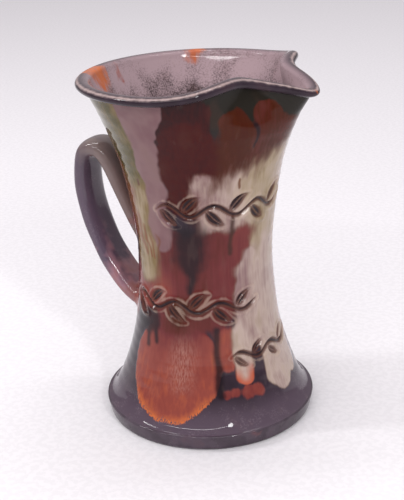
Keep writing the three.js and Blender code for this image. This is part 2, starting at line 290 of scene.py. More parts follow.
def pulled(radius, angle, height):
    """A thrown place moved by the pouring lip and the fingers that pressed its flanks in."""
    off = np.abs(angle)
    lip_share = smooth_step(height, LIP_ROOT_HEIGHT, RIM_HEIGHT)
    flank_share = smooth_step(height, FLANK_ROOT_HEIGHT, RIM_HEIGHT)
    squeeze = (off / FLANK_ANGLE) ** 2
    pinch = FLANK_PINCH * squeeze * np.exp(1.0 - squeeze)
    reach = LIP_REACH * bump(off, LIP_HALF_ANGLE) - RIM_OVAL * np.cos(2.0 * angle)
    lift = FLANK_LIFT * bump(off - FLANK_LIFT_ANGLE, FLANK_LIFT_SPREAD)
    drop = LIP_DROP * bump(off, LIP_HALF_ANGLE)
    far = radius + lip_share * reach - flank_share * pinch
    return np.stack([far * np.cos(angle), far * np.sin(angle), height + flank_share * (lift - drop)], axis=-1)


# Meshes

def grid_normals(places):
    """Outward directions of a grid whose columns close on themselves."""
    across = np.roll(places, -1, axis=1) - np.roll(places, 1, axis=1)
    return unit(np.cross(across, np.gradient(places, axis=0)))


def grid_faces(rows, columns, closed_rows):
    """Four-sided faces of a grid whose columns close on themselves, and whose rows may."""
    row = np.arange(rows if closed_rows else rows - 1)[:, None]
    column = np.arange(columns)[None, :]
    beside, above = (column + 1) % columns, (row + 1) % rows
    corners = [(row, column), (row, beside), (above, beside), (above, column)]
    return np.stack([level * columns + place for level, place in corners], axis=-1).reshape(-1, 4)


def end_fan(ring, middle, flipped):
    """Triangles from a ring of vertex numbers to one in its middle."""
    pairs = zip(ring.tolist(), np.roll(ring, -1).tolist())
    return [(b, a, middle) if flipped else (a, b, middle) for a, b in pairs]


def grid_map(mesh, rows, columns):
    """Lays the grid's faces out flat, for a texture. Faces at the seams go on past the far edge."""
    corners = np.zeros(len(mesh.loops), np.int32)
    mesh.loops.foreach_get("vertex_index", corners)
    flat = np.stack([corners % columns / columns, np.minimum(corners // columns, rows) / rows], axis=1)
    for face in mesh.polygons:
        span = flat[face.loop_start : face.loop_start + face.loop_total]
        span[span < span.max(axis=0) - 0.5] += 1.0
    room = 1.0 + 1.0 / np.array([columns, rows])
    layer = mesh.uv_layers.new(name="OFBake")
    layer.data.foreach_set("uv", (flat / room).ravel().astype(np.float32))


def grid_mesh(name, places, closed_rows):
    """A closed mesh from a grid of places. Open ends get a fan each."""
    rows, columns = places.shape[:2]
    points = places.reshape(-1, 3)
    faces = grid_faces(rows, columns, closed_rows).tolist()
    if not closed_rows:
        ring, count = np.arange(columns), len(points)
        faces += end_fan(ring, count, True) + end_fan(ring + count - columns, count + 1, False)
        points = np.vstack([points, places[0].mean(axis=0), places[-1].mean(axis=0)])
    mesh = bpy.data.meshes.new(name)
    mesh.from_pydata((points * MM).tolist(), [], faces)
    grid_map(mesh, rows, columns)
    mesh.shade_smooth()
    mesh.set_sharp_from_angle(angle=math.radians(SHARP_ANGLE))
    return mesh


def add_fields(mesh, fields):
    """Gives each point its value of each field, and the middles of the fans 0."""
    for label, values in fields.items():
        padded = np.zeros(len(mesh.vertices), np.float32)
        padded[: values.size] = values.ravel()
        mesh.attributes.new(label, "FLOAT", "POINT").data.foreach_set("value", padded)


def piece(node, places, fields, material, closed_rows=False):
    """A glazed piece on a grid of places, which stands for a CAD node."""
    mesh = grid_mesh(node + "_glazed", places, closed_rows)
    add_fields(mesh, fields)
    mesh.materials.append(material)
    made = bpy.data.objects.new(mesh.name, mesh)
    bpy.context.scene.collection.objects.link(made)
    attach(made, "root")
    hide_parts(node)


# Poured glazes: where each one lies on the wall

class Run(NamedTuple):
    """A tongue of glaze down the wall, round at both ends. Its angle is in degrees, its sizes in mm."""

    angle: float
    top: float
    bottom: float
    top_half: float
    bottom_half: float
    tint: float = 0.5  # place on the glaze's own scale of colours
    top_soft: float = 5.0
    bottom_soft: float = 1.0
    tip: float = 0.0  # how far up from its lower edge the glaze breaks to orange


# Rust glaze: tint 0 is near black, 0.2 maroon, 0.4 brown, 0.6 rust, 0.8 brick and 1 orange.
RUST_RUNS = [
    Run(-71, 174, 150, 17, 13, 0.1, 1.5, 4),
    Run(-70, 160, 112, 15, 12, 0.2, 2, 9),
    Run(-41, 163, 118, 9, 9, 0.38, 1.2, 9),
    Run(-19, 164, 120, 10, 10, 0.42, 1.2, 9),
    Run(-2, 158, 120, 9, 9, 0.42, 4, 9),
    Run(-88, 104, 60, 6, 10, 0.56, 5, 5),
    Run(-113, 86, 57, 13, 15, 0.72, 8, 4),
    Run(-57, 108, 56, 9, 11, 0.55, 5, 5),
    Run(-42, 96, 70, 6, 6, 0.6, 5, 5),
    Run(-25, 109, 88, 9, 9, 0.66, 4, 4),
    Run(-89, 58, 10.5, 24, 26.5, 0.8, 1.2, 0.9, 5.5),
    Run(-87, 66, 42, 16, 20, 0.64, 3, 9),
    Run(-84, 70, 53, 17, 15, 0.3, 5, 6),
    Run(-48, 56, 35, 4.5, 4.5, 0.78, 3, 2),
    Run(-50.5, 26, 22, 2, 2, 0.68, 1.6, 1.6),
    Run(-45, 26, 22, 1.8, 1.8, 0.7, 1.6, 1.6),
    Run(-36, 26.5, 20.5, 3.4, 3.4, 0.7, 1.8, 1.8),
    Run(-29, 27, 20, 3.4, 3.4, 0.72, 1.8, 1.8),
    Run(-144, 134, 94, 8, 8, 0.74, 8, 8),
    Run(-150, 78, 50, 9, 8, 0.6, 6, 2),
]

# Cream glaze: tint 0 is pinkish grey, 0.3 pale cream, 0.6 dull cream, 0.8 khaki and 1 olive.
CREAM_RUNS = [
    Run(-117, 172, 74, 17, 8.5, 0.74, 5, 7),
    Run(-128, 184, 124, 25, 15, 1, 5, 16),
    Run(-62, 136, 104, 3, 3, 0.12, 3, 5),
    Run(-45, 132, 103, 11, 9, 0.12, 13, 5),
    Run(-26, 133, 106, 9, 8, 0.4, 12, 4),
    Run(-8, 140, 90, 11, 8, 0.62, 12, 4),
    Run(8, 146, 60, 9, 8, 0.5, 11, 3),
    Run(-23, 91, 44, 10, 9, 0.16, 2.5, 3),
    Run(-4, 98, 18.5, 10, 10.5, 0.3, 5, 0.9),
    Run(-36, 58, 26.5, 4.5, 5, 0.3, 3, 0.9, 6),
    Run(13, 84, 22, 9, 8, 0.3, 5, 0.9),
]

# A painted reflection of the floor: a panel of pinkish grey over the cream and the rust
FLOOR_REFLECTION_RUNS = [
    Run(-96.5, 176, 96, 8, 5, top_soft=1.2, bottom_soft=3),
    Run(-90, 184, 152, 13, 5, top_soft=1.2, bottom_soft=1.4),
]

# Where pale hairs show in the rust glaze
PALE_RUNS = [Run(-81, 48, 26, 4, 5, top_soft=7, bottom_soft=6)]

# Iron that pooled over the other glazes: tint 0 is black and 1 brown.
POOL_RUNS = [
    Run(-73.5, 109, 84, 10, 5, 0, 6, 5),
    Run(-73, 92, 74, 2.5, 1.6, 0, 3, 2.5),
    Run(-54.5, 58, 22, 1.6, 2.4, 0, 2.5, 2),
    Run(-41, 113, 92, 1.6, 1.2, 0.2, 2, 2),
    Run(-127, 58, 49, 4, 4, 0, 2, 3),
    Run(-115, 61, 50, 6, 5, 0, 3, 3),
    Run(-107, 60, 52, 4, 3, 0, 3, 3),
    Run(-113, 56, 43, 1.6, 1.2, 0, 2, 2),
    Run(-104, 56, 46, 1.4, 1.2, 0, 2, 2),
    Run(-138, 140, 108, 4.5, 3.5, 1, 4, 5),
    Run(-128, 124, 96, 3.4, 2.2, 1, 5, 3),
    Run(-120, 110, 90, 2, 1, 1, 5, 1.5),
    Run(-113, 106, 88, 0.8, 0.9, 1, 1.8, 0.7),
    Run(-108, 100, 87, 0.5, 0.7, 1, 1.8, 0.7),
    Run(-101, 101, 88, 0.5, 0.8, 0.8, 1.8, 0.7),
    Run(-113, 127, 123.5, 1.1, 0.9, 0.5, 0.7, 0.7),
    Run(-33, 130, 124, 0.7, 0.7, 0.7, 0.8, 0.7),
    Run(-30, 158, 145, 1.6, 0.7, 0, 1.6, 0.9),
]

# Orange breaks on the rim and inside, under it. They cover it thinly.
BREAK_COVER = 0.62
INSIDE_RUNS = [
    Run(194, 184, 161, 11, 8, 1, 5, 6),
    Run(173, 172, 164, 1, 1, 0.85, 3, 3),
    Run(121, 182, 168, 6, 3, 0.92, 4, 5),
    Run(0, 180, 169, 0.5, 0.5, 0.95, 2, 2),
]


def hidden_runs(seed, spacing, tops, lengths, halves, tints):
    """Runs like those in view, drawn from ranges of values, for the hidden side."""
    chance = np.random.default_rng(seed)
    runs = []
    for middle in np.arange(*HIDDEN_ANGLES, spacing):
        top, half = chance.uniform(*tops), chance.uniform(*halves)
        bottom = max(top - chance.uniform(*lengths), HIDDEN_LOWEST)
        place = middle + chance.uniform(-HIDDEN_STRAY, HIDDEN_STRAY) * spacing
        tint, lower_half = chance.uniform(*tints), half * chance.uniform(*HIDDEN_TAPER)
        soft = chance.uniform(*HIDDEN_BOTTOM_SOFT)
        runs.append(Run(place, top, bottom, half, lower_half, tint, HIDDEN_TOP_SOFT, soft, HIDDEN_TIP))
    return runs


HIDDEN_RUST_RUNS = hidden_runs(
    seed=21, spacing=17.0, tops=(60.0, 150.0), lengths=(30.0, 70.0), halves=(6.0, 13.0), tints=(0.25, 0.7)
)
HIDDEN_CREAM_RUNS = hidden_runs(
    seed=22, spacing=19.0, tops=(80.0, 150.0), lengths=(40.0, 90.0), halves=(4.0, 10.0), tints=(0.1, 0.8)
)


def run_cover(run, angle, height):
    """How much of each place a run covers, and how near that is to its tip, both from 0 to 1."""
    turn = (np.degrees(angle) - run.angle + 180.0) % 360.0 - 180.0
    across = np.radians(turn) * wall_radius(height)
    way, top, bottom = climb(height), climb(run.top), climb(run.bottom)
    share = np.clip((top - way) / (top - bottom), 0.0, 1.0)
    beyond = np.maximum(bottom + run.bottom_half - way, 0.0)
    beyond += np.maximum(way - top + run.top_half, 0.0)
    depth = blend(run.top_half, run.bottom_half, share) - np.hypot(across, beyond)
    soft = blend(run.top_soft, run.bottom_soft, share)
    tip = smooth_step(run.tip - depth, 0.0, run.tip + LEAST_TIP) * (run.tip > 0.0)
    return smooth_step(depth, -soft, soft), tip * smooth_step(share, *TIP_SHARES)


def poured(runs, angle, height):
    """How much of a glaze covers each place, from 0 to 1, its tint there, and how near it is to a tip."""
    amount, tint, tips = (np.zeros(angle.shape) for _ in range(3))
    for run in runs:
        cover, tip = run_cover(run, angle, height)
        both = cover + amount * (1.0 - cover)
        newer = cover / np.maximum(both, TINY)
        tint = blend(tint, run.tint, newer)
        tips = blend(tips, tip, newer)
        amount = both
    return amount, tint, tips


# The pressed ornament

class Vine(NamedTuple):
    """A wavy stem with a leaf at each half wave. Its angles and pitch are in degrees, the rest in mm."""

    first: float
    last: float
    middle: float
    swing: float
    pitch: float
    leaf: float


VINES = [
    Vine(-99, 14, 115, 2.8, 36, 9.0),
    Vine(-136, -16, 66, 2.4, 38, 8.5),
    Vine(-45, 26, 41, 1.8, 30, 6.5),
]


def stem_height(vine, angle):
    return vine.middle + vine.swing * np.sin(2.0 * math.pi * (angle - vine.first) / vine.pitch)


def stem(vine):
    """The stem's stroke: rows of angle, height and half width."""
    angle = np.arange(vine.first, vine.last, STEM_STEP)
    taper = smooth_step(np.minimum(angle - vine.first, vine.last - angle), *STEM_TAPER)
    return np.stack([angle, stem_height(vine, angle), STEM_HALF * taper], axis=1)


def leaves(vine, width):
    """The leaves' strokes, on both sides of the stem in turn, widest below the middle and pointed."""
    share = np.linspace(0.0, 1.0, LEAF_POINTS)
    rise = vine.leaf * (LEAF_START + share * (LEAF_CLIMB - LEAF_DROOP * share))
    half = vine.leaf * width * np.sin(math.pi * share**LEAF_BELLY) * blend(*LEAF_FULLNESS, share)
    first, last = vine.first + vine.pitch * FIRST_LEAF, vine.last - vine.pitch * LAST_LEAF
    strokes = []
    for count, start in enumerate(np.arange(first, last, vine.pitch / 2.0)):
        side = 1.0 if count % 2 else -1.0
        angle, height = start + vine.pitch * LEAF_SLANT * share, stem_height(vine, start) + side * rise
        strokes.append(np.stack([angle, height, LEAST_HALF + half], axis=1))
    return strokes


CUTS = [stroke for vine in VINES for stroke in [stem(vine), *leaves(vine, LEAF_WIDTH)]]
RIBS = [stroke for vine in VINES for stroke in leaves(vine, RIB_WIDTH)]


def inside_stroke(stroke, turn, height):
    """How far, in mm, places at turns in degrees lie inside one stroke."""
    scale = np.radians(1.0) * wall_radius(height)
    best = np.full(scale.shape, FAR_OUTSIDE)
    for start, stop in zip(stroke[:-1], stroke[1:]):
        step_x, step_z = (stop[0] - start[0]) * scale, stop[1] - start[1]
        from_x, from_z = (turn - start[0]) * scale, height - start[1]
        share = np.clip((from_x * step_x + from_z * step_z) / (step_x**2 + step_z**2), 0.0, 1.0)
        off = np.hypot(from_x - share * step_x, from_z - share * step_z)
        best = np.maximum(best, blend(start[2], stop[2], share) - off)
    return best


def pressed(strokes, angle, height):
    """How far, in mm, each place lies inside the nearest stroke. Places outside are negative."""
    inside = np.full(angle.shape, FAR_OUTSIDE)
    turn = np.degrees(angle)
    for stroke in strokes:
        low, high = stroke.min(axis=0), stroke.max(axis=0)
        near = (turn > low[0] - NEAR_ANGLE) & (turn < high[0] + NEAR_ANGLE)
        near &= (height > low[1] - NEAR_HEIGHT) & (height < high[1] + NEAR_HEIGHT)
        inside[near] = np.maximum(inside[near], inside_stroke(stroke, turn[near], height[near]))
    return inside


# Materials

def paint(red, green, blue):
    """A colour as it looks on a screen, in 0 to 255, for a shader."""
    shares = Color((red / 255.0, green / 255.0, blue / 255.0))
    return (*shares.from_srgb_to_scene_linear(), 1.0)


IRON_BLACK = paint(30, 20, 26)
IRON_DARK = paint(44, 33, 41)
IRON_PURPLE = paint(58, 46, 56)
IRON_OLIVE = paint(34, 30, 24)
IRON_GREY = paint(84, 70, 82)
GREY_BLOOM = paint(150, 134, 142)
# Inside: a mauve grey lightened by a painted sheen, and the dark of its specks, which also paints the shade
# deeper down
INSIDE_GREY_SHEEN = paint(170, 146, 151)
INSIDE_DARK_SPECK_AND_SHADE = paint(54, 41, 43)
# a pale line along the rim's crest: thin glaze and a painted highlight
RIM_PALE_HIGHLIGHT = paint(186, 163, 160)
RUST_SCALE = [
    (0.0, paint(26, 10, 14)),
    (0.2, paint(64, 10, 8)),
    (0.4, paint(70, 28, 10)),
    (0.6, paint(104, 44, 46)),
    (0.8, paint(138, 67, 57)),
    (1.0, paint(198, 106, 60)),
]
PALE_BRICK = paint(168, 122, 110)
CREAM_SCALE = [
    (0.0, paint(128, 96, 98)),
    (0.3, paint(182, 162, 152)),
    (0.6, paint(164, 146, 120)),
    (0.8, paint(124, 104, 66)),
    (1.0, paint(78, 70, 26)),
]
# Pinkish greys of the painted reflection of the floor on the neck
REFLECTION_PINK_GREY = paint(118, 86, 90)
REFLECTION_PINK_PALE = paint(134, 106, 106)
THIN_CREAM = paint(98, 60, 46)
DRIP_BROWN = paint(122, 74, 46)
BREAK_ORANGE = paint(182, 88, 62)
BURR_PALE = paint(190, 166, 150)
CUT_BROWN = paint(92, 56, 46)
CUT_DARK = paint(38, 26, 32)
FLOOR_DULL = paint(229, 226, 229)
FLOOR_PALE = paint(234, 231, 234)
HANDLE_SCALE = [
    (0.0, paint(110, 88, 84)),
    (0.3, paint(124, 107, 104)),
    (0.55, paint(88, 74, 88)),
    (0.83, paint(86, 70, 86)),
    (0.93, paint(148, 108, 118)),
    (1.0, paint(150, 104, 102)),
]


class Shader:
    """A material in the making. Most methods add nodes and give their output."""

    def __init__(self, name):
        self.material = bpy.data.materials.new(name)
        self.material.use_nodes = True
        self.tree = self.material.node_tree
        self.surface = self.tree.nodes["Principled BSDF"]
        self.places = self.node("TexCoord").outputs["Object"]

    def node(self, kind):
        return self.tree.nodes.new("ShaderNode" + kind)

    def put(self, socket, value):
        """Gives a socket a value, another node's output or a field by its name."""
        if isinstance(value, str):
            field = self.node("Attribute")
            field.attribute_name = value
            value = field.outputs["Fac"]
        if isinstance(value, bpy.types.NodeSocket):
            self.tree.links.new(value, socket)
        else:
            socket.default_value = value

    def math(self, operation, *values):
        made = self.node("Math")
        made.operation = operation
        for socket, value in zip(made.inputs, values):
            self.put(socket, value)
        return made.outputs[0]

    def times(self, first, second):
        return self.math("MULTIPLY", first, second)

    def step(self, value, low, high, to_low=0.0, to_high=1.0):
        """value turned smoothly from to_low at low to to_high at high."""
        made = self.node("MapRange")
        made.interpolation_type = "SMOOTHSTEP"
        for socket, given in zip(made.inputs, (value, low, high, to_low, to_high)):
            self.put(socket, given)
        return made.outputs[0]

    def noise(self, pitch, stretch=1.0, detail=3.0):
        """Noise from 0 to 1 with features pitch mm across, and stretch times as long up the wall."""
        scaled = self.node("Mapping")
        self.put(scaled.inputs["Vector"], self.places)
        scale = 1.0 / (pitch * MM)
        self.put(scaled.inputs["Scale"], (scale, scale, scale / stretch))
        made = self.node("TexNoise")
        self.put(made.inputs["Vector"], scaled.outputs[0])
        self.put(made.inputs["Scale"], 1.0)
        self.put(made.inputs["Detail"], detail)
        return self.step(made.outputs["Fac"], *NOISE_SPAN)

    def shaken(self, value, noise, reach):
        """value moved up and down by noise, by half of reach at most."""
        return self.math("MULTIPLY_ADD", self.math("SUBTRACT", noise, 0.5), reach, value)

    def mix(self, share, first, second):
        made = self.node("Mix")
        made.data_type = "RGBA"
        for name, value in (("Factor_Float", share), ("A_Color", first), ("B_Color", second)):
            self.put(next(socket for socket in made.inputs if socket.identifier == name), value)
        return next(socket for socket in made.outputs if socket.identifier == "Result_Color")

    def scale(self, value, stops):
        """A colour read off a scale of (place, colour) stops."""
        made = self.node("ValToRGB")
        self.put(made.inputs["Fac"], value)
        ramp = made.color_ramp.elements
        for place, colour in stops[1:-1]:
            ramp.new(place).color = colour
        ramp[0].position, ramp[0].color = stops[0]
        ramp[-1].position, ramp[-1].color = stops[-1]
        return made.outputs["Color"]

    def glaze(self, colour, roughness, specular):
        """Ends the material as a glossy glaze, with a fine relief that also varies its roughness."""
        relief = self.noise(FINE_RELIEF_PITCH)
        self.put(self.surface.inputs["Base Color"], colour)
        self.put(self.surface.inputs["Roughness"], self.step(relief, 0.0, 1.0, *roughness))
        self.put(self.surface.inputs["Specular IOR Level"], specular)
        lifted = self.node("Bump")
        self.put(lifted.inputs["Strength"], FINE_RELIEF_STRENGTH)
        self.put(lifted.inputs["Distance"], FINE_RELIEF_DEPTH * MM)
        self.put(lifted.inputs["Height"], relief)
        self.put(self.surface.inputs["Normal"], lifted.outputs["Normal"])
        return self.material


class Grain(NamedTuple):
    """The noises that break up the wall's glazes."""

    hairs: bpy.types.NodeSocket
    streaks: bpy.types.NodeSocket
    ribbons: bpy.types.NodeSocket
    clouds: bpy.types.NodeSocket


def specks(shader):
    """Fine specks in patches, from 0 to 1."""
    fine, patches = shader.noise(pitch=0.8, detail=2.0), shader.noise(pitch=7.0)
    return shader.step(shader.times(fine, patches), low=0.3, high=1.0)


def outside_iron(shader, grain):
    """The dark iron glaze outside: olive under the rim, and grey with specks at the foot."""
    dark = shader.mix(grain.clouds, IRON_DARK, IRON_PURPLE)
    dark = shader.mix("upper", dark, IRON_OLIVE)
    dark = shader.mix("low", dark, IRON_GREY)
    bloom = shader.times(specks(shader), "low")
    return shader.mix(shader.times(bloom, FOOT_BLOOM), dark, GREY_BLOOM)


def inside_iron(shader, grain):
    """The mauve grey glaze inside, lightened by a painted sheen, with dark specks and a painted shade that
    deepens further down.
    """
    # painted shade that deepens down the inside, mixed with the dark specks
    depth = shader.shaken("deep_shade", grain.clouds, reach=0.5)
    speckled = shader.math("MULTIPLY_ADD", shader.noise(pitch=0.8, detail=4.0), INSIDE_SPECKS, depth)
    return shader.mix(shader.step(speckled, low=0.2, high=1.3), INSIDE_GREY_SHEEN, INSIDE_DARK_SPECK_AND_SHADE)


def iron_layer(shader, grain):
    """The iron glaze under everything, with a pale line along the rim's bead: thin glaze and a painted
    highlight.
    """
    colour = shader.mix("inside", outside_iron(shader, grain), inside_iron(shader, grain))
    # painted highlight along the bead's crest, which also stands for the glaze thinning there
    thin = shader.shaken("rim", shader.noise(pitch=2.5), reach=0.3)
    return shader.mix(shader.step(thin, low=0.2, high=1.1, to_high=0.8), colour, RIM_PALE_HIGHLIGHT)


# Each layer over the iron gives how much of a place it covers, and its colour there.

def rust_layer(shader, grain):
    """The rust glaze. Its tips fray into hairs."""
    frayed = shader.times("rust_tip", grain.hairs)
    whole = shader.shaken("rust", grain.streaks, reach=0.15)
    whole = shader.shaken(whole, grain.ribbons, reach=0.35)
    cover = shader.step(shader.math("MULTIPLY_ADD", frayed, -FRAYING, whole), low=0.15, high=0.75)
    tint = shader.shaken("rust_tint", grain.streaks, reach=0.05)
    rust = shader.scale(shader.shaken(tint, grain.clouds, reach=0.07), RUST_SCALE)
    pale = shader.times("pale", grain.hairs)
    return cover, shader.mix(shader.times(pale, PALE_HAIRS), rust, PALE_BRICK)


def cream_layer(shader, grain):
    """The cream glaze, which is brown where it is thin."""
    ragged = shader.shaken("cream", grain.streaks, reach=0.12)
    ragged = shader.shaken(ragged, grain.ribbons, reach=0.15)
    tint = shader.shaken("cream_tint", grain.streaks, reach=0.1)
    cream = shader.scale(shader.shaken(tint, grain.clouds, reach=0.22), CREAM_SCALE)
    depth = shader.shaken("cream", grain.ribbons, reach=0.4)
    cream = shader.mix(shader.step(depth, low=0.3, high=1.0, to_low=0.75, to_high=0.0), cream, THIN_CREAM)
    cream = shader.mix("cream_tip", cream, BREAK_ORANGE)
    return shader.step(ragged, low=0.15, high=0.85), cream


def painted_reflection_layer(shader, grain):
    """A painted reflection of the floor, laid on as a pinkish grey layer."""
    ragged = shader.shaken("floor_reflection", grain.ribbons, reach=0.15)
    return shader.step(ragged, low=0.15, high=0.85), shader.mix(grain.clouds, REFLECTION_PINK_GREY, REFLECTION_PINK_PALE)


def pool_layer(shader, grain):
    """The iron that pooled over the other glazes."""
    ragged = shader.shaken("pool", grain.streaks, reach=0.2)
    cover = shader.step(ragged, low=0.05, high=0.95, to_high=0.9)
    return cover, shader.mix("pool_tint", IRON_BLACK, DRIP_BROWN)


def ornament_colour(shader, grain, colour):
    """colour with the ornament's pale burrs and its cuts, brown at the edge and dark at the bottom."""
    burr = shader.shaken("burr", grain.ribbons, reach=0.9)
    colour = shader.mix(shader.step(burr, low=0.3, high=1.3, to_high=0.4), colour, BURR_PALE)
    cut = shader.shaken("cut", grain.clouds, reach=0.3)
    colour = shader.mix(shader.step(cut, low=0.05, high=0.45, to_high=0.8), colour, CUT_BROWN)
    return shader.mix(shader.step(cut, low=0.45, high=0.95, to_high=0.95), colour, CUT_DARK)


def wall_glaze():
    shader = Shader("running_glaze")
    grain = Grain(
        hairs=shader.noise(pitch=0.6, stretch=9.0, detail=2.0),
        streaks=shader.noise(pitch=1.5, stretch=14.0, detail=2.0),
        ribbons=shader.noise(pitch=5.0, stretch=4.0, detail=2.0),
        clouds=shader.noise(pitch=11.0, stretch=1.5, detail=2.0),
    )
    colour = iron_layer(shader, grain)
    # the third layer is a painted reflection of the floor
    for layer in (rust_layer, cream_layer, painted_reflection_layer, pool_layer):
        cover, shade = layer(shader, grain)
        colour = shader.mix(cover, colour, shade)
    return shader.glaze(ornament_colour(shader, grain, colour), GLAZE_ROUGHNESS, GLAZE_SPECULAR)


def dark_glaze(name, shade):
    """The iron glaze of the foot and the handle. shade makes its colour from the shader and its clouds."""
    shader = Shader(name)
    clouds = shader.noise(pitch=9.0, detail=2.0)
    colour = shader.mix(shader.times(specks(shader), DARK_BLOOM), shade(shader, clouds), GREY_BLOOM)
    tint = shader.shaken(DARK_RUST_TINT, shader.noise(pitch=2.5, stretch=4.0), reach=0.3)
    ragged = shader.shaken("rust", clouds, reach=0.6)
    cover = shader.step(ragged, low=0.2, high=0.9, to_high=0.85)
    colour = shader.mix(cover, colour, shader.scale(tint, RUST_SCALE))
    return shader.glaze(colour, DARK_GLAZE_ROUGHNESS, DARK_GLAZE_SPECULAR)


def foot_shade(shader, clouds):
    share = shader.step(clouds, low=0.0, high=1.0, to_low=0.1, to_high=0.7)
    return shader.mix(share, IRON_PURPLE, IRON_GREY)


def handle_shade(shader, clouds):
    """Grey-brown at the root, purple down the sweep and pinkish at the tail, darker along the inner face."""
    colour = shader.scale(shader.shaken("along", clouds, reach=0.12), HANDLE_SCALE)
    return shader.mix(shader.times("inner", STRIPE_SHADE), colour, IRON_PURPLE)


# The wall

def wall_angles():
    """Angles round the wall, closer together on the side that faces the camera."""
    even = np.linspace(-math.pi, math.pi, WALL_COLUMNS, endpoint=False)
    angle = even - FRONT_CROWDING * np.sin(even) + math.radians(FRONT_ANGLE)
    return (angle + math.pi) % (2.0 * math.pi) - math.pi


def wall_profile():
    """The wall's section from the foot up the outside, over the rim and down the inside."""
    height = OUTSIDE[:, 1]
    ornament = smooth_step(height, *ORNAMENT_START) * smooth_fall(height, *ORNAMENT_STOP)
    mouth = smooth_step(INSIDE[:, 1], *MOUTH_START)
    return np.vstack([
        even_line(OUTSIDE, OUTSIDE_ROWS, blend(1.0, ORNAMENT_CROWDING, ornament)),
        rim_bead(BEAD_ROWS),
        even_line(INSIDE, INSIDE_ROWS, blend(1.0, MOUTH_CROWDING, mouth))[::-1],
    ])


def wander(places, noises):
    """How far the glazes' edges stray at places, in mm."""
    return sum(reach * wobble(places, pitch, seed) for reach, pitch, seed in noises)


def wandered(places, angle, height):
    """Where places take their glazes from, so that the glazes' edges wander."""
    ease = blend(CALM_SHARE, 1.0, smooth_step(height, *CALM_HEIGHTS))
    shift = ease * wander(places, WANDER_ROUND)
    return angle + shift / wall_radius(height), height + ease * wander(places, WANDER_UP)


def poured_fields(angle, height, outside):
    """How much of each poured glaze covers the wall, its tint and its tips."""
    rust, rust_tint, rust_tip = poured(HIDDEN_RUST_RUNS + RUST_RUNS, angle, height)
    cream, cream_tint, cream_tip = poured(HIDDEN_CREAM_RUNS + CREAM_RUNS, angle, height)
    # where the painted reflection of the floor lies
    floor_reflection, _, _ = poured(FLOOR_REFLECTION_RUNS, angle, height)
    pale, _, _ = poured(PALE_RUNS, angle, height)
    pool, pool_tint, _ = poured(POOL_RUNS, angle, height)
    breaks, break_tint, _ = poured(INSIDE_RUNS, angle, height)
    return {
        "rust": np.where(outside, rust, BREAK_COVER * breaks),
        "rust_tint": np.where(outside, blend(rust_tint, 1.0, rust_tip), break_tint),
        "rust_tip": outside * rust_tip,
        "pale": outside * pale,
        "cream": outside * cream,
        "cream_tint": cream_tint,
        "cream_tip": cream_tip,
        "floor_reflection": outside * floor_reflection,
        "pool": outside * pool,
        "pool_tint": pool_tint,
    }


def iron_fields(height, outside, round_bead):
    """Where the iron glaze changes, and where the painted shade inside and the painted highlight on the bead
    lie. round_bead is the share of the way round the rim's bead.
    """
    return {
        "upper": outside * smooth_step(height, *OLIVE_HEIGHTS),
        "low": outside * smooth_fall(height, *GREY_HEIGHTS),
        # painted shade, deeper inside the jug
        "deep_shade": smooth_fall(height, *DEEP_SHADE_HEIGHTS),
        "inside": smooth_step(round_bead, *INSIDE_SHARES),
        # painted highlight along the bead's crest, also its thin glaze
        "rim": bump(round_bead - THIN_GLAZE_AND_HIGHLIGHT_SHARE, THIN_GLAZE_AND_HIGHLIGHT_SPREAD),
    }


def ornament_fields(angle, height, outside):
    """Where the ornament is cut in and where its burrs stand, as shares of their full sizes."""
    stroke = np.where(outside, pressed(CUTS, angle, height), FAR_OUTSIDE)
    cut = np.sin(math.pi / 2.0 * np.clip(stroke / CUT_SLOPE, 0.0, 1.0))
    rib = smooth_step(pressed(RIBS, angle, height), *RIB_EDGE)
    return {"cut": cut * (1.0 - RIB_HEIGHT * rib), "burr": bump(stroke + BURR_OFFSET, BURR_SPREAD)}


def wall_relief(places, angle, height, outside, fields):
    """How far the glazed wall stands out of the thrown form."""
    spiral = np.sin(2.0 * math.pi * height / THROWING_PITCH + angle)
    relief = GLAZE_THICKNESS * np.maximum(fields["rust"], fields["cream"])
    relief += UNEVENNESS * wobble(places, UNEVENNESS_PITCH, UNEVENNESS_SEED) + THROWING_DEPTH * spiral
    relief += BURR_HEIGHT * fields["burr"] - CUT_DEPTH * fields["cut"]
    fade = outside * smooth_step(height, *RELIEF_START) * smooth_step(RIM_HEIGHT - height, *RELIEF_STOP)
    return relief * fade


def make_wall():
    profile = wall_profile()
    angle, radius = np.meshgrid(wall_angles(), profile[:, 0])
    height = np.broadcast_to(profile[:, 1:2], angle.shape)
    row = np.broadcast_to(np.arange(len(profile))[:, None], angle.shape)
    outside = row < OUTSIDE_ROWS
    places = pulled(radius, angle, height)
    fields = {
        **poured_fields(*wandered(places, angle, height), outside),
        **iron_fields(height, outside, (row - OUTSIDE_ROWS) / BEAD_ROWS),
        **ornament_fields(angle, height, outside),
    }
    relief = wall_relief(places, angle, height, outside, fields)
    places = places + grid_normals(places) * relief[..., None]
    piece("thrown_wall", places, fields, wall_glaze(), closed_rows=True)


# The foot

def quarter_turn(start, stop, count, middle, size):
    """Points of (radius, height) on an arc between two angles in degrees."""
    turn = np.radians(np.linspace(start, stop, count))
    return np.stack([middle[0] + size * np.cos(turn), middle[1] + size * np.sin(turn)], axis=1)


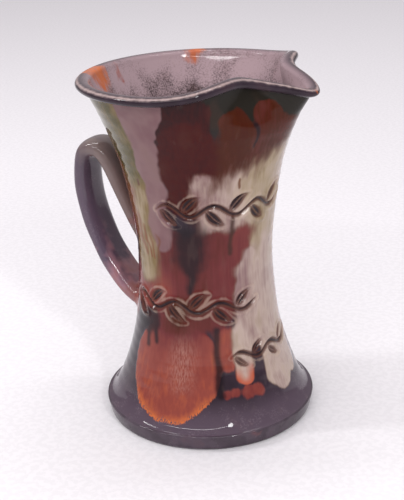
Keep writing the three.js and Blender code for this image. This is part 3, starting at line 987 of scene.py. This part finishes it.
def foot_profile():
    """The foot's section from the middle of its underside, round its edge, to the middle of its top."""
    low_middle = (FOOT_RADIUS - FOOT_TAPER - FOOT_LOWER_ROUND, FOOT_LOWER_ROUND)
    high_middle = (FOOT_RADIUS - FOOT_UPPER_ROUND, FOOT_HEIGHT - FOOT_UPPER_ROUND)
    under = np.linspace(FOOT_FAN_RADIUS, low_middle[0], FOOT_FACE_ROWS)[:-1]
    over = np.linspace(high_middle[0], FOOT_FAN_RADIUS, FOOT_FACE_ROWS)[1:]
    return np.vstack([
        [(radius, 0.0) for radius in under],
        quarter_turn(-90.0, 0.0, FOOT_LOWER_ROWS, low_middle, FOOT_LOWER_ROUND),
        quarter_turn(0.0, 90.0, FOOT_UPPER_ROWS, high_middle, FOOT_UPPER_ROUND),
        [(radius, FOOT_HEIGHT) for radius in over],
    ])


def make_foot():
    profile = foot_profile()
    turns = np.linspace(0.0, 2.0 * math.pi, FOOT_COLUMNS, endpoint=False)
    angle, radius = np.meshgrid(turns, profile[:, 0])
    height = np.broadcast_to(profile[:, 1:2], angle.shape)
    places = np.stack([radius * np.cos(angle), radius * np.sin(angle), height], axis=-1)
    spot = bump(np.degrees(angle) - FOOT_SPOT_ANGLE, FOOT_SPOT_DEGREES)
    fields = {"rust": spot * bump(height - FOOT_SPOT_HEIGHT, FOOT_SPOT_DEPTH)}
    piece("foot_plate", places, fields, dark_glaze("foot_glaze", foot_shade))


# The handle

def handle_curves():
    """Ends of the strap's three curves, as (distance from the axis, height), from its root to its tail."""
    root = np.array([wall_radius(HANDLE_ROOT_HEIGHT) - ROOT_BURIAL, HANDLE_ROOT_HEIGHT])
    reach = wall_radius(HANDLE_OUTER_HEIGHT) + FINGER_SPACE + STRAP_THICKNESS / 2.0
    top = np.array([reach - HANDLE_TURN_DEPTH, HANDLE_TOP_HEIGHT])
    outer = np.array([reach, HANDLE_OUTER_HEIGHT])
    tail = np.array([wall_radius(HANDLE_TAIL_HEIGHT) - TAIL_BURIAL, HANDLE_TAIL_HEIGHT])
    departure = root + ROOT_CLIMB * np.array([math.cos(ROOT_CLIMB_ANGLE), math.sin(ROOT_CLIMB_ANGLE)])
    arrival = tail + TAIL_RUN * np.array([math.cos(TAIL_ANGLE), math.sin(TAIL_ANGLE)])
    return [
        (root, departure, top - (TURN_IN, 0.0), top),
        (top, top + (TURN_OUT, 0.0), outer + (0.0, TURN_DOWN), outer),
        (outer, outer - (0.0, SWEEP_DOWN), arrival, tail),
    ]


PATH = np.vstack([bezier(ends, PATH_POINTS + 1)[:-1] for ends in handle_curves()])
SHARES = np.arange(len(PATH)) / len(PATH)
HEADINGS = unit(np.gradient(PATH, axis=0))
TURNS = np.linspace(0.0, 2.0 * math.pi, STRAP_SIDES, endpoint=False)


def squared(value):
    """A sine or cosine drawn out towards the corners of a squarish section."""
    return np.sign(value) * np.abs(value) ** (2.0 / STRAP_SQUARENESS)


def strap_places(share, turn, grow=0.0):
    """Places on the strap, at shares of its path and turns round its section. grow makes it thicker."""
    spread = 1.0 + (STRAP_ROOT_SPREAD - 1.0) * (2.0 * share - 1.0) ** 4
    across = squared(np.sin(turn)) * (STRAP_WIDTH / 2.0 * spread + grow)
    out = squared(np.cos(turn)) * (STRAP_THICKNESS / 2.0 + grow)
    far, high, head_out, head_up = (np.interp(share, SHARES, line) for line in (*PATH.T, *HEADINGS.T))
    return np.stack([-(far - out * head_up), across, high + out * head_out], axis=-1)


def off_wall(places):
    """How far places stand outside the thrown wall."""
    return np.hypot(places[..., 0], places[..., 1]) - wall_radius(places[..., 2])


def shares_from(end):
    """Shares of the handle's path, from its root or its tail on."""
    return SHARES if end == ROOT_END else SHARES[::-1]


def leaving_shares(end, depth=0.0):
    """For each side of the strap, the share where it comes within depth of leaving the wall."""
    shares = shares_from(end)
    clear = off_wall(strap_places(shares[:, None], TURNS[None, :])) > -depth
    return shares[np.argmax(clear, axis=0)]


def make_strap():
    start, stop = leaving_shares(ROOT_END, STRAP_END_BURIAL), leaving_shares(TAIL_END, STRAP_END_BURIAL)
    share = blend(start, stop, np.linspace(0.0, 1.0, STRAP_ROWS)[:, None])
    turn = np.broadcast_to(TURNS, share.shape)
    places = strap_places(share, turn)
    relief = STRAP_UNEVENNESS * wobble(places, STRAP_PITCH, STRAP_SEED)
    relief *= smooth_step(np.minimum(share, 1.0 - share), *STRAP_EVEN_ENDS)
    places = places + grid_normals(places) * (relief - STRAP_INSET)[..., None]
    stripe = bump(np.sin(turn), STRIPE_WIDTH) * smooth_step(-np.cos(turn), 0.0, INNER_FACE_EDGE)
    tail_rust = TAIL_RUST * smooth_step(share, *TAIL_RUST_SHARES)
    fields = {
        "along": share,
        "inner": stripe * bump(share - STRIPE_PLACE, STRIPE_LENGTH),
        "rust": tail_rust + ROOT_RUST * smooth_fall(share, *ROOT_RUST_SHARES),
    }
    piece("handle_strap", places, fields, dark_glaze("handle_glaze", handle_shade))


def edge_on_strap(end, leave, corner, reach):
    """Where a luting ends on the strap, reach away from the corner."""
    shares = shares_from(end)
    beyond = (shares[:, None] - leave) * (1.0 if end == ROOT_END else -1.0) > 0.0
    distance = np.linalg.norm(strap_places(shares[:, None], TURNS[None, :]) - corner, axis=-1)
    reached = shares[np.argmax(beyond & (distance > reach), axis=0)]
    return strap_places(reached, TURNS, -LUTING_EDGE_BURIAL - STRAP_INSET)


def edge_on_wall(corner, off_strap, outward, reach):
    """Where a luting ends on the wall, reach away from the corner."""
    along_wall = unit(off_strap - outward * (off_strap * outward).sum(axis=-1, keepdims=True))
    edge = corner + along_wall * reach[:, None]
    level = unit(edge[:, :2]) * (wall_radius(edge[:, 2]) - LUTING_EDGE_BURIAL)[:, None]
    return np.concatenate([level, edge[:, 2:]], axis=1)


def luting_places(end):
    """A fillet round one end of the strap: rows from the strap to the wall, and its hidden back."""
    leave = leaving_shares(end)
    corner = strap_places(leave, TURNS)
    off_strap = unit(strap_places(leave, TURNS, grow=1.0) - corner)
    outward = wall_outward(corner)
    closeness = np.maximum(0.0, -(off_strap * outward).sum(axis=-1))
    reach = LUTING_REACH * (1.0 + closeness)
    on_strap = edge_on_strap(end, leave, corner, reach)
    on_wall = edge_on_wall(corner, off_strap, outward, reach)
    between = unit(off_strap + outward)
    face = corner + between * LUTING_FULLNESS
    share = np.linspace(0.0, 1.0, LUTING_ROWS)[:, None, None]
    rest = 1.0 - share
    curve = on_strap * rest**2 + 2.0 * face * share * rest + on_wall * share**2
    places = np.concatenate([curve, (corner - LUTING_BACK_BURIAL * between)[None]])
    return places if end == ROOT_END else places[:, ::-1]


def make_luting(node, slot, end, rust):
    places = luting_places(end)
    all_over = np.ones(places.shape[:2])
    fields = {"along": end * all_over, "inner": 0.0 * all_over, "rust": rust * all_over}
    piece(node, places, fields, dark_glaze(slot, handle_shade), closed_rows=True)


# Studio

def make_floor():
    bpy.ops.mesh.primitive_plane_add(size=FLOOR_SIZE)
    floor = bpy.context.object
    floor.name = "floor"
    shader = Shader("floor_paper")
    grain = shader.step(shader.noise(pitch=3.0), low=0.3, high=0.7)
    colour = shader.mix(grain, FLOOR_DULL, FLOOR_PALE)
    shader.put(shader.surface.inputs["Base Color"], colour)
    shader.surface.inputs["Roughness"].default_value = FLOOR_ROUGHNESS
    floor.data.materials.append(shader.material)


def area_light(name, place, size, power):
    """A softly edged lamp that is aimed at the middle of the jug."""
    lamp = bpy.data.lights.new(name, "AREA")
    lamp.shape = "ELLIPSE"
    lamp.size, lamp.size_y = size
    lamp.energy = power
    made = bpy.data.objects.new(name, lamp)
    made.location = place
    aim = Vector((0.0, 0.0, CAMERA_AIM_HEIGHT * MM)) - Vector(place)
    made.rotation_euler = aim.to_track_quat("-Z", "Y").to_euler()
    bpy.context.scene.collection.objects.link(made)


def make_world():
    """A pale room that is brighter overhead than at its walls."""
    world = bpy.data.worlds.new("studio")
    bpy.context.scene.world = world
    world.use_nodes = True
    nodes, links = world.node_tree.nodes, world.node_tree.links
    parts = nodes.new("ShaderNodeSeparateXYZ")
    links.new(nodes.new("ShaderNodeTexCoord").outputs["Generated"], parts.inputs[0])
    bright = nodes.new("ShaderNodeMapRange")
    links.new(parts.outputs["Z"], bright.inputs["Value"])
    bright.inputs["To Min"].default_value, bright.inputs["To Max"].default_value = ROOM_LIGHT
    links.new(bright.outputs["Result"], nodes["Background"].inputs["Strength"])
    nodes["Background"].inputs["Color"].default_value = ROOM_COLOUR


def make_camera():
    azimuth, elevation = math.radians(CAMERA_AZIMUTH), math.radians(CAMERA_ELEVATION)
    aim = Vector((0.0, 0.0, CAMERA_AIM_HEIGHT * MM))
    level = math.cos(elevation)
    away = Vector((math.sin(azimuth) * level, -math.cos(azimuth) * level, math.sin(elevation)))
    camera = bpy.data.objects.new("camera", bpy.data.cameras.new("camera"))
    roll = Matrix.Rotation(math.radians(CAMERA_ROLL), 3, "Z")
    turned = (-away).to_track_quat("-Z", "Y").to_matrix() @ roll
    camera.matrix_world = Matrix.Translation(aim + away * CAMERA_DISTANCE * MM) @ turned.to_4x4()
    longest = max(PHOTO_SIZE)
    camera.data.sensor_width = SENSOR_WIDTH
    camera.data.lens = FOCAL_PIXELS * SENSOR_WIDTH / longest
    camera.data.shift_x = (PHOTO_SIZE[0] / 2.0 - PRINCIPAL_POINT[0]) / longest
    camera.data.shift_y = (PRINCIPAL_POINT[1] - PHOTO_SIZE[1] / 2.0) / longest
    camera.data.clip_start = CLIP_START * MM
    bpy.context.scene.collection.objects.link(camera)
    bpy.context.scene.camera = camera


make_camera()
make_world()
make_floor()
for lamp in LAMPS:
    area_light(*lamp)
make_wall()
make_foot()
make_strap()
make_luting("upper_luting", "upper_luting_glaze", ROOT_END, UPPER_LUTING_RUST)
make_luting("lower_luting", "lower_luting_glaze", TAIL_END, LOWER_LUTING_RUST)
bpy.context.scene.view_settings.view_transform = "Standard"
